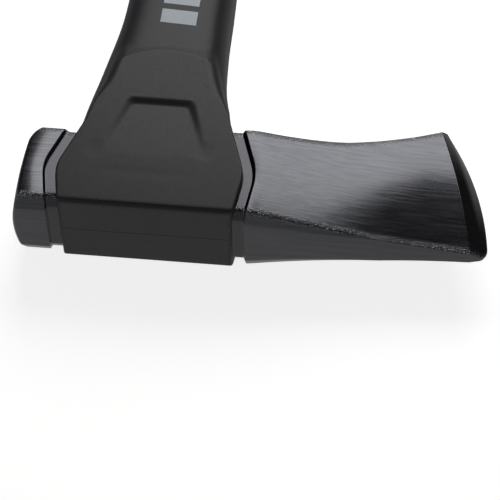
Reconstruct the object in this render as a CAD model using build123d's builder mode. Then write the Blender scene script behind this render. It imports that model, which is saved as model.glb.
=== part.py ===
"""Splitting maul: a forged steel head with an overmoulded composite handle. Millimetres.

The maul lies on its side. X runs along the head from the poll to the cutting edge, Y runs along the
handle away from the head, and Z is up. The origin is under the eye of the head, on the flat lower cheek
of the handle's shroud, which is the face that the maul lies on.
"""

from build123d import *
import math
import os

# ---------------------------------------------------------------- shroud: the moulding round the head
shroud_thickness = 50.0
middle_z = shroud_thickness / 2
shroud_crown_y = -17.0
shroud_crown_left_x = -36.3
shroud_crown_right_x = 38.7
shroud_left_corner = (-38.9, 0.5)
shroud_right_corner = (42.2, 3.7)
shroud_left_slope = 0.4305  # how far the left side comes in for each millimetre of Y
shroud_right_slope = 0.325
shroud_under_y = 34.0
shroud_corner_radius = 13.0
shroud_crown_fillet = 2.2

# beyond the head the cheek of the shroud carries on as a raised pad, and ends in an arch
pad_start_y = 18.0
pad_draft = 8.0
arch_centre = (4.6, 22.8)
arch_radius = 39.5
arch_slope = 45.0

# keystone: a recess in each cheek, deepest at its top and running out to nothing
keystone_top_y = 36.0
keystone_foot_y = 10.0
keystone_depth = 1.6
keystone_top_x = (-9.0, 15.6)
keystone_foot_x = (-20.0, 25.0)
keystone_corner_radius = 2.5
keystone_draft = 52.0

# ---------------------------------------------------------------- forged head
cheek_half = 24.0  # half the thickness of the poll and of the blade's root
poll_flat_half = 16.5  # half the width of the poll's narrow faces, between its bevels
poll_crown_y = -17.7
poll_under_y = 22.2
poll_bevel_rise = 3.0
poll_start_x = -75.0  # the forging before its striking face is formed
poll_face_x = -56.5
poll_face_tilt = 5.5
poll_face_dome_radius = 105.0
poll_rim_chamfer = 1.4

step_offset = 3.8  # plan distance from the shroud's side to the foot of each step
step_chamfer = 1.4
waist_half = 21.4
waist_flat_half = 16.8
waist_crown_y = -15.8
waist_bevel_rise = 2.3
waist_left_x, waist_left_under_y = -46.0, 20.8
waist_right_x, waist_right_under_y = 50.0, 27.2

# the part of the waist that the shroud hides
inner_half = 18.0
inner_flat_half = 15.0
inner_crown_y = -13.0
inner_under_y = 18.5
inner_bevel_rise = 2.0
inner_inset = 5.0
key_hole_radius = 4.0
key_holes = [(-23.5, 9.0), (24.5, 9.0)]
key_groove_length = 42.0
key_groove_width = 5.0
key_groove_depth = 1.5

# blade
blade_start_x = 38.0
root_x = 46.0
cheek_curve = [(90.0, 12.1), (140.0, 4.2)]  # half thickness at two places beyond the root
bevel_half = 4.2  # half the thickness where the grinding of the edge begins
bevel_arc = [(126.6, 41.5), (135.6, 13.0), (141.8, -18.0)]
edge_arc = [(130.2, 43.0), (144.3, 13.3), (149.4, -13.0)]
edge_land = 0.15  # half the width of the cutting edge's flat
toe_y = -17.2
toe_corner_radius = 4.0
heel_corner_radius = 1.2
blade_crown_y = -17.7
blade_crown_middle = (95.0, -16.4)
blade_under_curve = [(blade_start_x, 27.4), (68.0, 28.0), (90.0, 30.0), (110.0, 34.9), (127.0, 40.9)]
root_bevel_rise = 2.4
root_bevel_drop = 7.3
root_bevel_end_x = 100.0

# ---------------------------------------------------------------- core, bonded in the eye
core_width = 22.0
core_height = 15.0
core_slope = 0.0225  # how far the core leans towards the edge for each millimetre of Y
core_start_y = -11.5
core_end_y = 792.0
bond_gap = 0.75

# ---------------------------------------------------------------- handle: Y, centre X, half width, half height
section_round = 0.6  # corner radius of the handle's section, as a share of its half height
neck_stations = [
    (5.0, 1.4, 37.0, 21.4),
    (30.0, 1.8, 33.2, 23.2),
    (55.0, 2.1, 28.0, 24.2),
    (80.0, 4.3, 24.6, 23.2),
    (105.0, 5.7, 23.8, 21.9),
    (130.0, 6.8, 22.8, 20.5),
]
shaft_stations = [
    (130.0, 6.8, 22.8, 20.5),
    (260.0, 10.0, 19.6, 17.0),
    (390.0, 11.5, 18.8, 15.8),
    (520.0, 12.6, 18.6, 15.8),
]
grip_stations = [
    (520.0, 12.6, 18.6, 15.8),
    (560.0, 12.9, 18.3, 15.7),
    (650.0, 13.6, 17.8, 15.4),
    (730.0, 14.8, 18.8, 16.2),
    (775.0, 17.0, 21.4, 17.6),
    (800.0, 19.0, 24.2, 18.6),
]
sleeve_thickness = 2.2
sleeve_stand = 0.5  # how far the soft sleeve stands proud of the jacket
sleeve_collar_length = 9.0
sleeve_collar_stand = 1.3

# ---------------------------------------------------------------- butt cap
cap_stations = [
    (800.0, 19.0, 24.2, 18.6),
    (814.0, 20.4, 26.6, 19.6),
    (838.0, 21.4, 25.6, 18.4),
]
cap_end_fillet = 9.0
cap_stand = 0.5
spigot_length = 6.0
spigot_inset = 5.5
spigot_clearance = 0.1
hang_hole_radius = 5.0
hang_hole_y = 822.0
hang_hole_x = 20.8

middle_plane = Plane.XY.offset(middle_z)

os.makedirs("parts", exist_ok=True)


# ---------------------------------------------------------------- helpers
def arc_point(arc_points, y):
    """The point at a given Y on the right-hand side of the circle through three points."""
    arc = ThreePointArc(*arc_points)
    centre, radius = arc.arc_center, arc.radius
    return (centre.X + math.sqrt(radius**2 - (y - centre.Y) ** 2), y)


def octagon(crown_y, under_y, half, flat, rise):
    """A section of the head across X: narrow faces at crown and underside, joined by long bevels."""
    return Polyline(
        (crown_y, -flat),
        (crown_y + rise, -half),
        (under_y - rise, -half),
        (under_y, -flat),
        (under_y, flat),
        (under_y - rise, half),
        (crown_y + rise, half),
        (crown_y, flat),
        close=True,
    )


def across_head(x):
    """A plane across the head at X, with Y across and Z up from the middle of the thickness."""
    return Plane(origin=(x, 0, middle_z), x_dir=(0, 1, 0), z_dir=(1, 0, 0))


def across_handle(y):
    """A plane across the handle at Y, with X across and Z up from the middle of the thickness."""
    return Plane(origin=(0, y, middle_z), x_dir=(1, 0, 0), z_dir=(0, -1, 0))


def handle_loft(stations, grow=0.0):
    """A solid through the rounded sections of the given stations, each grown by the same amount."""
    with BuildPart() as body:
        for y, centre_x, half_width, half_height in stations:
            radius = section_round * half_height + grow
            with BuildSketch(across_handle(y)):
                with Locations((centre_x, 0)):
                    RectangleRounded(2 * (half_width + grow), 2 * (half_height + grow), radius)
        loft()
    return body.part


def core_bar(start_y, end_y, grow=0.0):
    """The oval of the core, leaning by its slope, between two places along Y."""
    with BuildPart() as bar:
        for y in (start_y, end_y):
            with BuildSketch(across_handle(y)):
                with Locations((core_slope * y, 0)):
                    SlotOverall(core_width + 2 * grow, core_height + 2 * grow)
        loft()
    return bar.part


def side_x(y):
    """X of the shroud's two straight sides at Y, beyond its corners."""
    left_x, left_y = shroud_left_corner
    right_x, right_y = shroud_right_corner
    return left_x + shroud_left_slope * (y - left_y), right_x - shroud_right_slope * (y - right_y)


def shroud_plan(grow=0.0):
    """The plan of the shroud: wider from the crown to its corners, then in towards the neck."""
    under_left_x, under_right_x = side_x(shroud_under_y)
    with BuildSketch() as plan:
        with BuildLine():
            Polyline(
                (shroud_crown_left_x, shroud_crown_y),
                (shroud_crown_right_x, shroud_crown_y),
                shroud_right_corner,
                (under_right_x, shroud_under_y),
                (under_left_x, shroud_under_y),
                shroud_left_corner,
                close=True,
            )
        make_face()
        corners = plan.vertices().sort_by(Axis.X)
        fillet([corners[0], corners[-1]], shroud_corner_radius)
        if grow:
            offset(amount=grow, kind=Kind.INTERSECTION)
    return plan.sketch


def root_bevel_plane(foot_y, rise, end_y):
    """The plane of one long bevel at the blade's root, facing out of the steel."""
    foot = Vector(root_x, foot_y, middle_z + cheek_half - root_bevel_drop)
    ridge = Vector(root_x, foot_y + rise, middle_z + cheek_half)
    end = Vector(root_bevel_end_x, end_y, middle_z + cheek_curve[0][1])
    normal = (ridge - foot).cross(end - foot)
    return Plane(origin=foot, x_dir=end - foot, z_dir=normal if normal.Z > 0 else -normal)


# ---------------------------------------------------------------- forged head
with BuildPart() as step_void:
    with BuildSketch():
        add(shroud_plan(step_offset))
    extrude(amount=shroud_thickness)
    with BuildSketch(middle_plane.offset(cheek_half - step_chamfer)):
        add(shroud_plan(step_offset))
    extrude(amount=step_chamfer + 0.5, taper=-45)
    mirror(about=middle_plane)

with BuildPart() as poll:
    with BuildSketch(across_head(poll_start_x)):
        with BuildLine():
            octagon(poll_crown_y, poll_under_y, cheek_half, poll_flat_half, poll_bevel_rise)
        make_face()
    extrude(amount=-poll_start_x - 25)
    # the striking face is slightly domed, and leans with the edge
    inward = Vector(1, 0, 0).rotate(Axis.Z, -poll_face_tilt)
    face_middle = Vector(poll_face_x, (poll_crown_y + poll_under_y) / 2, middle_z)
    with Locations(face_middle + inward * poll_face_dome_radius):
        Sphere(poll_face_dome_radius, mode=Mode.INTERSECT)
    chamfer(poll.faces().filter_by(GeomType.SPHERE).edges(), poll_rim_chamfer)
    add(step_void.part, mode=Mode.SUBTRACT)

with BuildPart() as root_bevels:
    underside_y = blade_under_curve[0][1]
    for foot_y, rise, end_y in (
        (blade_crown_y, root_bevel_rise, blade_crown_middle[1]),
        (underside_y, -root_bevel_rise, blade_under_curve[2][1]),
    ):
        with BuildSketch(root_bevel_plane(foot_y, rise, end_y)):
            with Locations((20, 0)):
                Rectangle(64, 40)
        extrude(amount=12)
    mirror(about=middle_plane)

with BuildPart() as edge_grinding:
    reach = [(arc_point(edge_arc, y), arc_point(bevel_arc, y)) for y in (56.0, 13.0, -30.0)]
    for level, share in ((edge_land, 0), (edge_land + 2 * (bevel_half - edge_land), 2)):
        with BuildSketch(middle_plane.offset(level)):
            with BuildLine():
                sweep_arc = ThreePointArc(*[(e[0] + share * (b[0] - e[0]), e[1]) for e, b in reach])
                Polyline(sweep_arc @ 1, (175, -30), (175, 56), sweep_arc @ 0)
            make_face()
    loft(ruled=True)
    mirror(about=middle_plane)

with BuildPart() as blade:
    with BuildSketch() as plan:
        with BuildLine():
            under = Spline(*blade_under_curve)
            Line(under @ 1, edge_arc[0])
            ThreePointArc(edge_arc[0], edge_arc[1], arc_point(edge_arc, toe_y))
            crown = ThreePointArc(arc_point(edge_arc, toe_y), blade_crown_middle, (blade_start_x, blade_crown_y))
            Line(crown @ 1, under @ 0)
        make_face()
        fillet(plan.vertices().sort_by_distance((*arc_point(edge_arc, toe_y), 0))[0], toe_corner_radius)
        fillet(plan.vertices().sort_by_distance((*edge_arc[0], 0))[0], heel_corner_radius)
    extrude(amount=shroud_thickness)
    # the cheeks are hollow: concave from the root to the edge
    with BuildSketch(across_handle(-80)):
        with BuildLine():
            Line((blade_start_x, 0), (blade_start_x, cheek_half))
            Line((blade_start_x, cheek_half), (root_x, cheek_half))
            cheek = ThreePointArc((root_x, cheek_half), *cheek_curve)
            beyond = Line(cheek @ 1, cheek @ 1 + Vector(20, -1.6))
            Line(beyond @ 1, ((beyond @ 1).X, 0))
            Line(((beyond @ 1).X, 0), (blade_start_x, 0))
        make_face()
        mirror(about=Plane.XZ)
    extrude(amount=-200, mode=Mode.INTERSECT)
    add(step_void.part, mode=Mode.SUBTRACT)
    add(root_bevels.part, mode=Mode.SUBTRACT)
    add(edge_grinding.part, mode=Mode.SUBTRACT)

with BuildPart() as steel_head:
    for x, under_y in ((waist_left_x, waist_left_under_y), (waist_right_x, waist_right_under_y)):
        with BuildSketch(across_head(x)):
            with BuildLine():
                octagon(waist_crown_y, under_y, waist_half, waist_flat_half, waist_bevel_rise)
            make_face()
    loft(ruled=True)
    # inside the shroud the waist is smaller, so that the moulding closes round it
    with BuildSketch() as hidden:
        add(shroud_plan(-inner_inset))
        with Locations(((shroud_crown_left_x + shroud_crown_right_x) / 2, -20)):
            Rectangle(shroud_crown_right_x - shroud_crown_left_x - 2 * inner_inset, 20)
    extrude(amount=shroud_thickness, mode=Mode.SUBTRACT)
    with BuildSketch(across_head(waist_left_x)):
        with BuildLine():
            octagon(inner_crown_y, inner_under_y, inner_half, inner_flat_half, inner_bevel_rise)
        make_face()
    extrude(amount=waist_right_x - waist_left_x)
    add(poll.part)
    add(blade.part)
    # the eye, and the keys that the moulding flows into
    add(core_bar(inner_crown_y - 5, inner_under_y + 12, bond_gap), mode=Mode.SUBTRACT)
    with Locations([(x, y, middle_z) for x, y in key_holes]):
        Cylinder(key_hole_radius, shroud_thickness, mode=Mode.SUBTRACT)
    with Locations((0, 0, middle_z + inner_half), (0, 0, middle_z - inner_half)):
        Box(key_groove_length, key_groove_width, 2 * key_groove_depth, mode=Mode.SUBTRACT)
steel_head.part.label = "steel_head"
export_step(steel_head.part, "parts/steel_head.step")

# ---------------------------------------------------------------- core and its bond
with BuildPart() as core_rod:
    add(core_bar(core_start_y, core_end_y))
core_rod.part.label = "core_rod"
export_step(core_rod.part, "parts/core_rod.step")

with BuildPart() as eye_epoxy:
    add(core_bar(inner_crown_y, inner_under_y, bond_gap))
    add(core_rod.part, mode=Mode.SUBTRACT)
eye_epoxy.part.label = "eye_epoxy"
export_step(eye_epoxy.part, "parts/eye_epoxy.step")

# ---------------------------------------------------------------- handle jacket
with BuildPart() as shroud:
    with BuildSketch():
        add(shroud_plan())
    extrude(amount=shroud_thickness)
    fillet(shroud.faces().sort_by(Axis.Y)[0].edges(), shroud_crown_fillet)

with BuildPart() as pad:
    pad_end_y = arch_centre[1] + arch_radius + middle_z
    left_start, right_start = side_x(pad_start_y)
    left_end, right_end = side_x(pad_end_y)
    with BuildSketch(Plane.XY.offset(shroud_thickness)):
        with BuildLine():
            Polyline(
                (left_start, pad_start_y),
                (right_start, pad_start_y),
                (right_end, pad_end_y),
                (left_end, pad_end_y),
                close=True,
            )
        make_face()
    extrude(amount=-middle_z, taper=-pad_draft)
    # the pad ends at a circle, in a slope that runs down to the neck
    arch_spread = middle_z / math.tan(math.radians(arch_slope))
    with Locations((*arch_centre, middle_z * 1.5)):
        Cone(arch_radius + arch_spread, arch_radius, middle_z, mode=Mode.INTERSECT)
    split(bisect_by=Plane.XZ.offset(-pad_start_y), keep=Keep.BOTTOM)
    mirror(about=middle_plane)

with BuildPart() as keystone:
    foot = Vector(0, keystone_foot_y, shroud_thickness)
    top = Vector(0, keystone_top_y, shroud_thickness - keystone_depth)
    floor_plane = Plane(origin=foot, x_dir=(1, 0, 0), z_dir=Vector(1, 0, 0).cross(top - foot))
    with BuildSketch(floor_plane) as floor:
        with BuildLine():
            Polyline(
                (keystone_foot_x[0], 0),
                (keystone_foot_x[1], 0),
                (keystone_top_x[1], keystone_top_y - keystone_foot_y),
                (keystone_top_x[0], keystone_top_y - keystone_foot_y),
                close=True,
            )
        make_face()
        fillet(floor.vertices().group_by(Axis.Y)[-1], keystone_corner_radius)
    extrude(amount=keystone_depth + 1, taper=-keystone_draft)
    mirror(about=middle_plane)

grip_start_y, grip_end_y = grip_stations[0][0], grip_stations[-1][0]
under_sleeve = handle_loft(grip_stations, sleeve_stand - sleeve_thickness)
end_y, end_x, end_half_width, end_half_height = grip_stations[-1]

with BuildPart() as handle_jacket:
    add(shroud.part)
    add(pad.part)
    add(handle_loft(neck_stations))
    add(handle_loft(shaft_stations))
    add(under_sleeve)
    # spigot for the butt cap
    with BuildSketch(across_handle(end_y)):
        with Locations((end_x, 0)):
            spigot_half_height = end_half_height - spigot_inset
            RectangleRounded(2 * (end_half_width - spigot_inset), 2 * spigot_half_height, section_round * spigot_half_height)
    extrude(amount=-spigot_length)
    add(keystone.part, mode=Mode.SUBTRACT)
    add(steel_head.part, mode=Mode.SUBTRACT)
    add(eye_epoxy.part, mode=Mode.SUBTRACT)
    add(core_rod.part, mode=Mode.SUBTRACT)
handle_jacket.part.label = "handle_jacket"
export_step(handle_jacket.part, "parts/handle_jacket.step")

# ---------------------------------------------------------------- grip sleeve
with BuildPart() as grip_sleeve:
    add(handle_loft(grip_stations, sleeve_collar_stand))
    sleeve_collar_end = Plane.XZ.offset(-(grip_start_y + sleeve_collar_length))
    split(bisect_by=sleeve_collar_end, keep=Keep.TOP)
    add(handle_loft(grip_stations, sleeve_stand))
    add(under_sleeve, mode=Mode.SUBTRACT)
grip_sleeve.part.label = "grip_sleeve"
export_step(grip_sleeve.part, "parts/grip_sleeve.step")

# ---------------------------------------------------------------- butt cap
with BuildPart() as butt_cap:
    add(handle_loft(cap_stations, cap_stand))
    fillet(butt_cap.faces().sort_by(Axis.Y)[-1].edges(), cap_end_fillet)
    with BuildSketch(across_handle(end_y)):
        with Locations((end_x, 0)):
            socket_half_height = spigot_half_height + spigot_clearance
            socket_half_width = end_half_width - spigot_inset + spigot_clearance
            RectangleRounded(2 * socket_half_width, 2 * socket_half_height, section_round * socket_half_height)
    extrude(amount=-(spigot_length + spigot_clearance), mode=Mode.SUBTRACT)
    with Locations((hang_hole_x, hang_hole_y, middle_z)):
        Cylinder(hang_hole_radius, shroud_thickness, mode=Mode.SUBTRACT)
butt_cap.part.label = "butt_cap"
export_step(butt_cap.part, "parts/butt_cap.step")
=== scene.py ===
"""Looks for a splitting maul: a lacquered forged head in a moulded nylon handle, built round its CAD frame."""

import math

import bmesh
import bpy
from bpy.props import FloatProperty, FloatVectorProperty, PointerProperty
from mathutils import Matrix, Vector


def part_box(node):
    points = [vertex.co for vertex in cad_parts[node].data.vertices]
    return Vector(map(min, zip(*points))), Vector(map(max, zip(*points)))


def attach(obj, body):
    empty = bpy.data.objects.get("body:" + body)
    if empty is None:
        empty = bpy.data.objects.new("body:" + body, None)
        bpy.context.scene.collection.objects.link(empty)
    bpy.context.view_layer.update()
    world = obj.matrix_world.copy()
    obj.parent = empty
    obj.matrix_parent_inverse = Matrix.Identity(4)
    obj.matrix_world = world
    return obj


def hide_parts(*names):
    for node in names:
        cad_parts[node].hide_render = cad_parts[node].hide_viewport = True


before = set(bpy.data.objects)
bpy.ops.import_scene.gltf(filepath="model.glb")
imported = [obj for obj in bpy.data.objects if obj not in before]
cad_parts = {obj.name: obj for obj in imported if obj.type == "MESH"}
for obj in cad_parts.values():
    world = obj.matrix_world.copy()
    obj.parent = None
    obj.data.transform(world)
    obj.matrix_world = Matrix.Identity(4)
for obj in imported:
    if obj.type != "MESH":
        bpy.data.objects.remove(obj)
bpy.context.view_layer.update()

bl_info = {
    "name": "Splitting Maul",
    "version": (1, 0, 0),
    "blender": (4, 5, 0),
    "location": "View3D > Sidebar > Maul",
    "description": "Builds a splitting maul with a forged head and an overmoulded handle",
    "category": "Add Mesh",
}

MM = 0.001
HEAD_LOW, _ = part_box("steel_head")
JACKET_LOW, JACKET_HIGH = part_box("handle_jacket")
SLEEVE_LOW, SLEEVE_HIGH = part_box("grip_sleeve")
MIDDLE_Z = (JACKET_LOW.z + JACKET_HIGH.z) / 2
HALF_SHROUD = (JACKET_HIGH.z - JACKET_LOW.z) / 2
WHITE = (1.0, 1.0, 1.0, 1.0)


# ---------------------------------------------------------------- settings
def length(name, description, millimetres):
    """A setting that is a length, with its default given in millimetres."""
    return FloatProperty(name=name, description=description, default=millimetres * MM, unit="LENGTH", precision=5)


def slope(name, description, default):
    """A setting that is a ratio, such as how fast a side comes in."""
    return FloatProperty(name=name, description=description, default=default, precision=4)


def angle(name, description, degrees):
    """A setting that is an angle, with its default in degrees."""
    return FloatProperty(name=name, description=description, default=math.radians(degrees), subtype="ANGLE")


def linear(code):
    """An sRGB hex colour as linear RGBA."""
    values = (int(code[i : i + 2], 16) / 255 for i in (1, 3, 5))
    return (*(v / 12.92 if v <= 0.04045 else ((v + 0.055) / 1.055) ** 2.4 for v in values), 1.0)


def colour(name, description, code):
    """A setting that is a colour, with its default given as sRGB hex."""
    return FloatVectorProperty(
        name=name, description=description, default=linear(code), subtype="COLOR", size=4, min=0.0, max=1.0
    )


class MaulShroudSettings(bpy.types.PropertyGroup):
    """The moulding round the head."""

    crown_y: length("Crown", "Y of the shroud's crown face", -17.0)
    crown_left_x: length("Crown left", "X of the shroud's left corner on the crown", -36.3)
    crown_right_x: length("Crown right", "X of the shroud's right corner on the crown", 38.7)
    left_x: length("Left corner X", "X where the left side turns in", -38.9)
    left_y: length("Left corner Y", "Y where the left side turns in", 0.5)
    right_x: length("Right corner X", "X where the right side turns in", 42.2)
    right_y: length("Right corner Y", "Y where the right side turns in", 3.7)
    left_slope: slope("Left slope", "How fast the left side comes in along Y", 0.4305)
    right_slope: slope("Right slope", "How fast the right side comes in along Y", 0.325)
    corner_softness: length("Corner softness", "How round the two side corners are in plan", 2.4)
    crown_fillet: length("Crown edge", "Radius along the edges of the crown face", 2.2)
    cheek_fillet: length("Cheek edge", "How far the rounding along the edges of the cheeks reaches", 1.0)
    pad_fillet: length("Pad edge", "How far the rounding along the edges of the pad reaches", 7.0)
    pad_draft: angle("Pad draft", "Slope of the pad's sides", 8.0)
    arch_x: length("Arch X", "X of the centre of the arch that ends the pad", 4.6)
    arch_y: length("Arch Y", "Y of the centre of the arch that ends the pad", 22.8)
    arch_radius: length("Arch radius", "Radius of the arch that ends the pad", 39.5)
    arch_slope: angle("Arch slope", "Slope from the pad down to the neck", 14.0)
    keystone_top_y: length("Keystone top", "Y of the recess's deep end", 37.6)
    keystone_foot_y: length("Keystone foot", "Y where the recess runs out", 8.0)
    keystone_depth: length("Keystone depth", "Depth of the recess at its top", 1.5)
    keystone_wall: length("Keystone wall", "Width of the recess's sloping wall", 3.4)
    flash: length("Flash", "Height of the line left where the mould's halves meet", 0.15)


class MaulHeadSettings(bpy.types.PropertyGroup):
    """The forged head."""

    cheek_half: length("Cheek half", "Half the thickness of the poll and of the blade's root", 24.0)
    collar_half: length("Collar half", "Half the thickness of the collars beside the shroud", 21.4)
    poll_collar_half: length("Poll collar half", "Half the thickness of the collar beside the poll", 22.8)
    hidden_half: length("Hidden half", "Half the thickness of the waist inside the shroud", 18.0)
    edge_round: length("Edge rounding", "Radius along the forging's long edges", 0.7)
    face_tilt: angle("Face tilt", "Lean of the striking face in plan", 5.5)
    face_dome_y: length("Face dome across", "Radius of the striking face's dome in plan", 160.0)
    face_dome_z: length("Face dome", "Radius of the striking face's dome through its thickness", 92.0)
    face_corner: length("Face corner", "Radius of the round corner towards the underside", 9.0)
    face_rim: length("Face rim", "Width of the chamfer round the striking face", 0.9)
    cheek_crown: slope("Cheek crowning", "How fast the blade's cheek falls towards the crown near the edge", 0.07)
    edge_land: length("Edge land", "Half the thickness left at the cutting edge", 0.12)


class MaulGripSettings(bpy.types.PropertyGroup):
    """The soft sleeve on the lower handle."""

    rib_pitch: length("Rib pitch", "Distance from one moulded rib to the next", 6.5)
    rib_depth: length("Rib depth", "Depth of the grooves between the ribs", 0.8)


class MaulPrintSettings(bpy.types.PropertyGroup):
    """The plain bars printed on the neck."""

    start: length("Print start", "Y where the first bar starts", 77.5)
    pitch: length("Bar pitch", "Distance from one bar to the next", 10.5)
    bar: length("Bar width", "Width of a bar along the handle", 7.4)
    half: length("Bar half length", "Half the length of a bar across the handle", 8.0)
    centre: length("Print centre", "X of the print's middle line where it starts", 6.6)
    lean: angle("Print lean", "Lean of the print, in line with the handle", 3.0)


class MaulColourSettings(bpy.types.PropertyGroup):
    """The colours of the finishes."""

    steel_dark: colour("Steel, dark", "Lacquered steel where the grinding lines are dark", "#4a4b4f")
    steel_light: colour("Steel, light", "Lacquered steel where the grinding lines are light", "#5c5d61")
    steel_forged: colour("Steel, forged", "Lacquered steel where the forged skin is left", "#3d3d41")
    # painted glint colour: bright specks along the ridges that stand in for highlights
    steel_glint_speck: colour("Steel, chipped", "Bare steel in the chips along the ridges", "#a5a6aa")
    nylon_dark: colour("Nylon, dark", "The moulding's darker tone", "#212024")
    nylon_light: colour("Nylon, light", "The moulding's lighter tone", "#262529")
    grip: colour("Grip", "The soft sleeve", "#1c1c1e")
    ink: colour("Ink", "The printed bars", "#b9c1c8")
    rod: colour("Rod", "The glass-fibre core", "#c9a64a")
    epoxy: colour("Epoxy", "The resin in the eye", "#8c6a35")
    floor: colour("Floor", "The floor the maul lies on", "#f2f2f0")


# ---------------------------------------------------------------- small geometry
def lerp(a, b, t):
    """From a to b as t goes from 0 to 1."""
    return a + (b - a) * t


def clamp(t):
    """t kept between 0 and 1."""
    return min(max(t, 0.0), 1.0)


def ramp(t):
    """0 to 1 with a soft start and end."""
    t = clamp(t)
    return t * t * (3 - 2 * t)


def soft_max(a, b, reach):
    """The larger of a and b, rounded where they are within reach of each other."""
    return max(a, b) + max(reach - abs(a - b), 0.0) ** 2 / (4 * reach)


def soft_min(a, b, reach):
    """The smaller of a and b, rounded where they are within reach of each other."""
    return min(a, b) - max(reach - abs(a - b), 0.0) ** 2 / (4 * reach)


def circle_through(points):
    """Centre and radius of the circle through three points, given in millimetres."""
    (ax, ay), (bx, by), (cx, cy) = points
    d = 2 * (ax * (by - cy) + bx * (cy - ay) + cx * (ay - by))
    ux = ((ax**2 + ay**2) * (by - cy) + (bx**2 + by**2) * (cy - ay) + (cx**2 + cy**2) * (ay - by)) / d
    uy = ((ax**2 + ay**2) * (cx - bx) + (bx**2 + by**2) * (ax - cx) + (cx**2 + cy**2) * (bx - ax)) / d
    return ux * MM, uy * MM, math.hypot(ax - ux, ay - uy) * MM


def along(stations, at):
    """Values at a place between stations, each (place, value, value...) in millimetres, on a smooth curve."""
    at = at / MM
    last = len(stations) - 2
    i = max(0, min(last, next((k for k in range(last + 1) if at <= stations[k + 1][0]), last)))
    p0, p1, p2, p3 = (stations[max(0, min(last + 1, k))] for k in (i - 1, i, i + 1, i + 2))
    span = p2[0] - p1[0]
    t = (at - p1[0]) / span
    values = []
    for k in range(1, len(p1)):
        start = (p2[k] - p0[k]) / (p2[0] - p0[0]) * span
        end = (p3[k] - p1[k]) / (p3[0] - p1[0]) * span
        a, b = p1[k], p2[k]
        value = a + t * start + t * t * (3 * (b - a) - 2 * start - end) + t**3 * (2 * (a - b) + start + end)
        values.append(value * MM)
    return values


def rounded_polygon(corners, radii, arc_steps, side_steps):
    """Points round a polygon with soft corners; each side has its own number of steps."""
    points = []
    count = len(corners)
    for i, corner in enumerate(corners):
        before, after = Vector(corners[i - 1]), Vector(corners[(i + 1) % count])
        corner = Vector(corner)
        to_before, to_after = before - corner, after - corner
        reach = min(radii[i], 0.45 * to_before.length, 0.45 * to_after.length)
        start = corner + to_before.normalized() * reach
        end = corner + to_after.normalized() * reach
        for k in range(arc_steps + 1):
            t = k / arc_steps
            points.append(start * (1 - t) ** 2 + corner * 2 * t * (1 - t) + end * t**2)
        next_reach = min(radii[(i + 1) % count], 0.45 * to_after.length)
        side_end = after - to_after.normalized() * next_reach
        for k in range(1, side_steps[i]):
            points.append(end.lerp(side_end, k / side_steps[i]))
    return points


# ---------------------------------------------------------------- mesh building
def ring_grid(bm, rings):
    """A grid rolled into a tube: each row of its vertices is put on one ring, its last column on its first."""
    columns = len(rings[0]) + 1
    grid = bmesh.ops.create_grid(bm, x_segments=columns - 1, y_segments=len(rings) - 1, size=1.0)["verts"]
    for i, vert in enumerate(grid):
        row, column = divmod(i, columns)
        vert.co = rings[row][column % (columns - 1)]


def loft(name, rings, column_marks=None, ring_marks=None):
    """A closed piece through rings of points; its first and last rings are each a point or a line.

    Column marks are kept on the mesh as the attribute "ridge", and ring marks as "forged".
    """
    bm = bmesh.new()
    ring_grid(bm, rings)
    if column_marks:
        ridge, forged = (bm.verts.layers.float.new(key) for key in ("ridge", "forged"))
        columns = len(column_marks)
        for i, vert in enumerate(bm.verts):
            row, column = divmod(i, columns + 1)
            vert[ridge], vert[forged] = column_marks[column % columns], ring_marks[row]
    bmesh.ops.remove_doubles(bm, verts=bm.verts, dist=0.002 * MM)
    bmesh.ops.recalc_face_normals(bm, faces=bm.faces)
    return finish_mesh(bm, name)


def finish_mesh(bm, name):
    """Turns a bmesh into a smooth-shaded object at the origin."""
    mesh = bpy.data.meshes.new(name)
    bm.to_mesh(mesh)
    bm.free()
    mesh.shade_smooth()
    piece = bpy.data.objects.new(name, mesh)
    bpy.context.scene.collection.objects.link(piece)
    return piece


def mount_piece(piece, material, node):
    """Gives a piece its finish, and puts it in the place of its CAD node."""
    piece.data.materials.append(material)
    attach(piece, "root")
    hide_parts(node)


# ---------------------------------------------------------------- plan of the shroud
def left_side(settings, y, outwards=0.0):
    """X of the shroud's left side at Y, moved outwards by a distance."""
    crown_slope = (settings.left_x - settings.crown_left_x) / (settings.left_y - settings.crown_y)
    upper = settings.left_x + settings.left_slope * (y - settings.left_y)
    lower = settings.left_x + crown_slope * (y - settings.left_y)
    upper -= outwards * math.hypot(1, settings.left_slope)
    lower -= outwards * math.hypot(1, crown_slope)
    return soft_max(upper, lower, settings.corner_softness + 0.1 * max(outwards, 0))


def right_side(settings, y, outwards=0.0):
    """X of the shroud's right side at Y, moved outwards by a distance."""
    crown_slope = (settings.right_x - settings.crown_right_x) / (settings.right_y - settings.crown_y)
    upper = settings.right_x - settings.right_slope * (y - settings.right_y)
    lower = settings.right_x + crown_slope * (y - settings.right_y)
    upper += outwards * math.hypot(1, settings.right_slope)
    lower += outwards * math.hypot(1, crown_slope)
    return soft_min(upper, lower, settings.corner_softness + 0.1 * max(outwards, 0))


def pad_sides(settings, y):
    """X of the pad's sides at Y: the shroud's own sides, kept nearly as wide as the neck that they run into."""
    centre_x, half_width, _ = along(HANDLE_STATIONS, y)
    share = ramp((y - 22 * MM) / (14 * MM))
    reach = half_width - PAD_INSET
    left, right = left_side(settings, y), right_side(settings, y)
    left = lerp(left, soft_min(left, centre_x - reach, 4 * MM), share)
    right = lerp(right, soft_max(right, centre_x + reach, 4 * MM), share)
    return left, right


# ---------------------------------------------------------------- steel head
# sections of the forging: crown Y, underside Y, half width of the narrow faces, rise of the long bevels
POLL_SECTION = (-17.7, 22.2, 16.5, 3.0)
COLLAR_LEFT_SECTION = (-15.8, 20.8, 16.8, 2.3)
COLLAR_RIGHT_SECTION = (-15.8, 27.2, 16.8, 2.3)
HIDDEN_SECTION = (-13.0, 18.5, 15.0, 2.0)
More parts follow.
